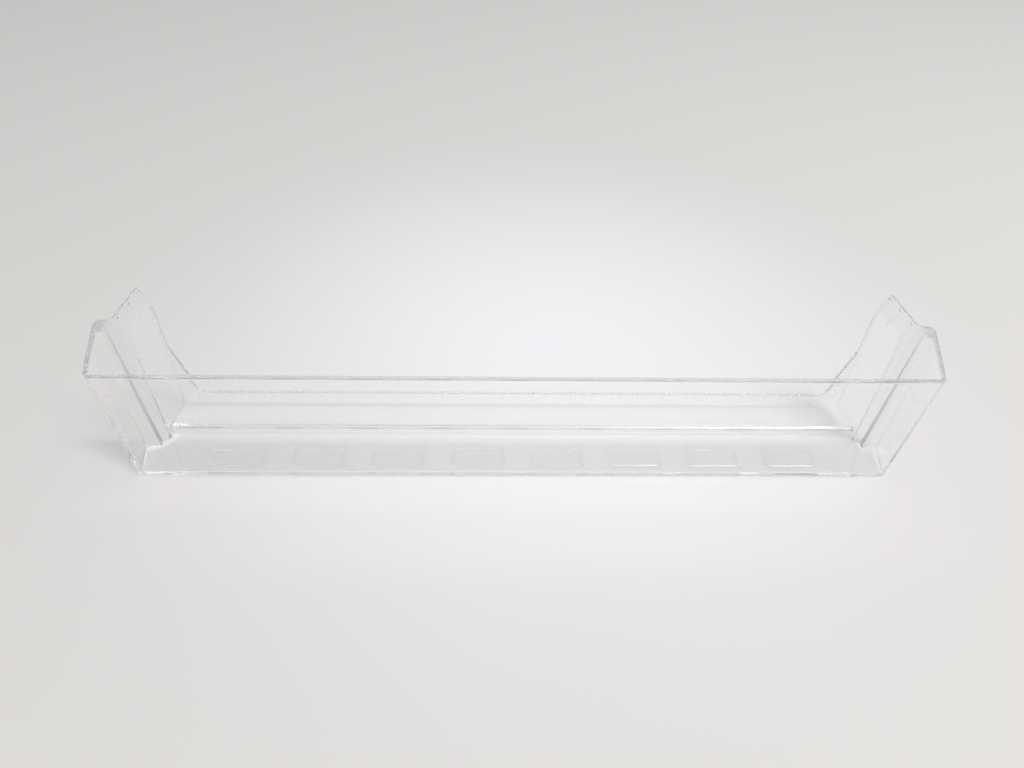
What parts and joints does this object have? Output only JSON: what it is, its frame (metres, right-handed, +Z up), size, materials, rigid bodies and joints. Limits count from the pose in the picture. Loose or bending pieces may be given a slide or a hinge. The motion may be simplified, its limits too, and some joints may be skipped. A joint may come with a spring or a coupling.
{
  "type": "fridge door shelf",
  "caption": "Clear moulded refrigerator door shelf: a long open bin with a straight front wall, stepped-in side walls with flared hanging flanges, a stepped floor and a low rear lip.",
  "frame": {"origin": "bottom centre of the outside box", "axes": "+X along the shelf, -Y out of the front wall towards the user, +Y towards the door, +Z up"},
  "size_m": [0.4514, 0.058, 0.0925],
  "materials": {
    "clear_plastic": "clear polished styrene plastic, glossy"
  },
  "bodies": {
    "root": {"door_shelf": "clear_plastic"}
  },
  "joints": []
}
